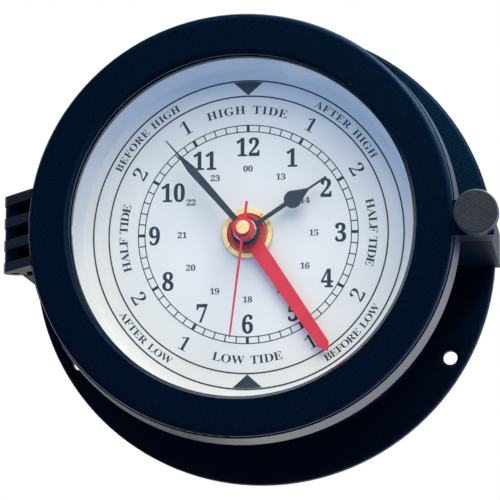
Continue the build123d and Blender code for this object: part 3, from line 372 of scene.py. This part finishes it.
def glyph(character, weight):
    """Outline of one character as (points, faces), one em high, flat in x and y, z 0 or 1."""
    if (character, weight) not in glyphs:
        curve = bpy.data.curves.new("glyph", "FONT")
        curve.body = character
        curve.offset = weight
        curve.extrude = 0.5
        curve.resolution_u = 6
        text = bpy.data.objects.new("glyph", curve)
        bpy.context.scene.collection.objects.link(text)
        bpy.context.view_layer.update()
        mesh = bpy.data.meshes.new_from_object(text)
        points = [(v.co.x, v.co.y, 1.0 if v.co.z > 0 else 0.0) for v in mesh.vertices]
        glyphs[character, weight] = points, [tuple(f.vertices) for f in mesh.polygons]
        bpy.data.objects.remove(text)
        bpy.data.curves.remove(curve)
        bpy.data.meshes.remove(mesh)
    return glyphs[character, weight]


def sides(character, weight, axis):
    """Least and greatest value of a character's outline along an axis."""
    values = [point[axis] for point in glyph(character, weight)[0]]
    return min(values), max(values)


def length_along(character, weight, axis):
    low, high = sides(character, weight, axis)
    return high - low


class Print:
    """Raised ink on the dial, collected in millimetres and made into one mesh."""

    def __init__(self):
        self.points, self.faces = [], []

    def add(self, points, faces):
        first = len(self.points)
        self.points += [(x, y, PRINT_LOW + z * (PRINT_HIGH - PRINT_LOW)) for x, y, z in points]
        self.faces += [tuple(first + i for i in face) for face in faces]

    def ring(self, inner, outer, steps=240):
        points, faces = [], []
        for i in range(steps):
            a = math.tau * i / steps
            for radius, z in ((inner, 0), (outer, 0), (outer, 1), (inner, 1)):
                points.append((radius * math.sin(a), radius * math.cos(a), z))
        for i in range(steps):
            a, b = 4 * i, 4 * ((i + 1) % steps)
            for j in range(4):
                k = (j + 1) % 4
                faces.append((a + j, a + k, b + k, b + j))
        self.add(points, faces)

    def plate(self, outline):
        n = len(outline)
        points = [(x, y, 0) for x, y in outline] + [(x, y, 1) for x, y in outline]
        faces = [tuple(range(n - 1, -1, -1)), tuple(range(n, 2 * n))]
        faces += [(i, (i + 1) % n, n + (i + 1) % n, n + i) for i in range(n)]
        self.add(points, faces)

    def tick(self, degrees, inner, outer, width):
        a = math.radians(degrees)
        out, side = (math.sin(a), math.cos(a)), (math.cos(a), -math.sin(a))
        half = width / 2
        corners = [(inner, -half), (outer, -half), (outer, half), (inner, half)]
        self.plate([(r * out[0] + s * side[0], r * out[1] + s * side[1]) for r, s in corners])

    def character(self, name, weight, scale, centre, turn, base):
        """One character: its middle stands at centre along x, its foot at base, then turned."""
        points, faces = glyph(name, weight)
        low, high = sides(name, weight, 0)
        cos, sin = math.cos(turn), math.sin(turn)
        moved = []
        for x, y, z in points:
            x, y = (x - (low + high) / 2) * scale[0], y * scale[1] + base
            moved.append((centre[0] + x * cos + y * sin, centre[1] - x * sin + y * cos, z))
        self.add(moved, faces)

    def number(self, text, centre, height, squeeze, gap, weight):
        """An upright number with its middle at centre."""
        text = [serif(c) for c in text]
        scale = height / length_along(serif("1"), weight, 1)
        widths = [length_along(c, weight, 0) * scale * squeeze for c in text]
        x = centre[0] - (sum(widths) + gap * (len(text) - 1)) / 2
        for character, width in zip(text, widths):
            place = x + width / 2, centre[1]
            self.character(character, weight, (scale * squeeze, scale), place, 0, -height / 2)
            x += width + gap

    def word(self, text, middle, half_span, foot, height, inward):
        """A word on an arc. Its letters stand with their tops outward, or inward below the middle."""
        scale = height / sides(serif("H"), BOOK, 1)[1]
        text = [c if c == " " else serif(c) for c in text]
        widths = [WORD_SPACE * height if c == " " else length_along(c, BOOK, 0) * scale * WORD_WIDTH for c in text]
        radius = foot + (-height / 2 if inward else height / 2)
        length = 2 * math.radians(half_span) * radius
        gap = (length - sum(widths)) / (len(text) - 1)
        s = -length / 2
        for character, width in zip(text, widths):
            along = math.radians(middle) + (s + width / 2) / radius * (-1 if inward else 1)
            s += width + gap
            if character == " ":
                continue
            turn = along + (math.pi if inward else 0)
            base = -foot if inward else foot
            self.character(character, BOOK, (scale * WORD_WIDTH, scale), (0, 0), turn, base)

    def piece(self, name, material=ink):
        mesh = bpy.data.meshes.new(name)
        mesh.from_pydata([(x * MM, -(DIAL_FRONT + z) * MM, y * MM) for x, y, z in self.points], [], self.faces)
        mesh.validate()
        mesh.materials.append(material)
        item = bpy.data.objects.new(name, mesh)
        bpy.context.scene.collection.objects.link(item)
        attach(item, "case")


def polar(degrees, radius):
    """Place on the dial, measured clockwise from 12 o'clock."""
    return radius * math.sin(math.radians(degrees)), radius * math.cos(math.radians(degrees))


def print_scale():
    """Rings and minute track, and the two triangles at high and low tide."""
    lines = Print()
    for inner, outer in SCALE_RINGS:
        lines.ring(inner, outer)
    for minute in range(60):
        lines.tick(6 * minute, *MINUTE_TRACK, FIVE_MINUTE_WIDTH if minute % 5 == 0 else MINUTE_WIDTH)
    marks = Print()
    right = TRIANGLE_TIP, TRIANGLE_CORNER, TRIANGLE_CURVE, TRIANGLE_TOP
    left = (-TRIANGLE_CURVE[0], TRIANGLE_CURVE[1]), (-TRIANGLE_CORNER[0], TRIANGLE_CORNER[1])
    for side in (1, -1):
        marks.plate([(side * x, side * y) for x, y in right + left])
    marks.piece("tide_marks", slate)
    lines.piece("dial_scale")


def print_hours():
    hours = Print()
    for hour, radius in enumerate(HOUR_RADII, 1):
        hours.number(str(hour), polar(30 * hour, radius), height=5.65, squeeze=0.86, gap=0.45, weight=BOLD)
    hours.piece("hour_numerals")


def print_day_hours():
    hours = Print()
    for step in range(12):
        text = "00" if step == 0 else str(12 + step)
        hours.number(text, polar(30 * step, DAY_RADIUS), height=1.85, squeeze=1.08, gap=0.12, weight=DAY_BOLD)
    hours.piece("day_numerals")


def print_tide():
    tide = Print()
    for degrees, name in TIDE_DIGITS:
        below = 90 < degrees < 270
        turn = math.radians(degrees) + (math.pi if below else 0)
        foot = TIDE_DIGIT_FOOT_BELOW if below else TIDE_DIGIT_FOOT
        form, weight = serif(name), TIDE_DIGIT_WEIGHT[name]
        scale = TIDE_DIGIT_HEIGHT / sides(form, weight, 1)[1]
        tide.character(form, weight, (scale * TIDE_DIGIT_WIDTH, scale), (0, 0), turn, foot)
    for row in TIDE_WORDS:
        tide.word(*row)
    tide.piece("tide_words")


def nut_seam():
    """Dark ring of painted shade that lies in the step of the brass nut, where the step is in shadow."""
    shade_ring = Print()
    shade_ring.ring(*SHADE_RING, 96)
    mesh = bpy.data.meshes.new("nut_seam")
    points = [(x * MM, -(SHADE_RING_LOW + (SHADE_RING_HEIGHT if z > 0 else 0)) * MM, y * MM) for x, y, z in shade_ring.points]
    mesh.from_pydata(points, [], shade_ring.faces)
    mesh.validate()
    mesh.materials.append(rubber)
    item = bpy.data.objects.new("nut_seam", mesh)
    bpy.context.scene.collection.objects.link(item)
    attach(item, "case")


# dark ring of painted shade in the step of the brass nut
nut_seam()
print_scale()
print_hours()
print_day_hours()
print_tide()

add_camera()
add_world()
bpy.context.scene.view_settings.view_transform = "Standard"
add_lamp("key", place=(0.17, -0.50, 0.50), aim=(0, -0.04, 0), size=(0.75, 0.75), watts=6.4,
         colour=(1.0, 0.815, 0.49))
add_lamp("edge_top_right", place=(0.13, -0.0625, 0.14), aim=(0, -0.058, 0), size=(0.006, 0.10), watts=1.6,
         colour=(0.9, 1.0, 1.0))
add_lamp("edge_right", place=(0.85, 0.12, -0.28), aim=(0, -0.03, 0), size=(0.3, 0.7), watts=20.0,
         colour=(0.54, 0.52, 1.0))
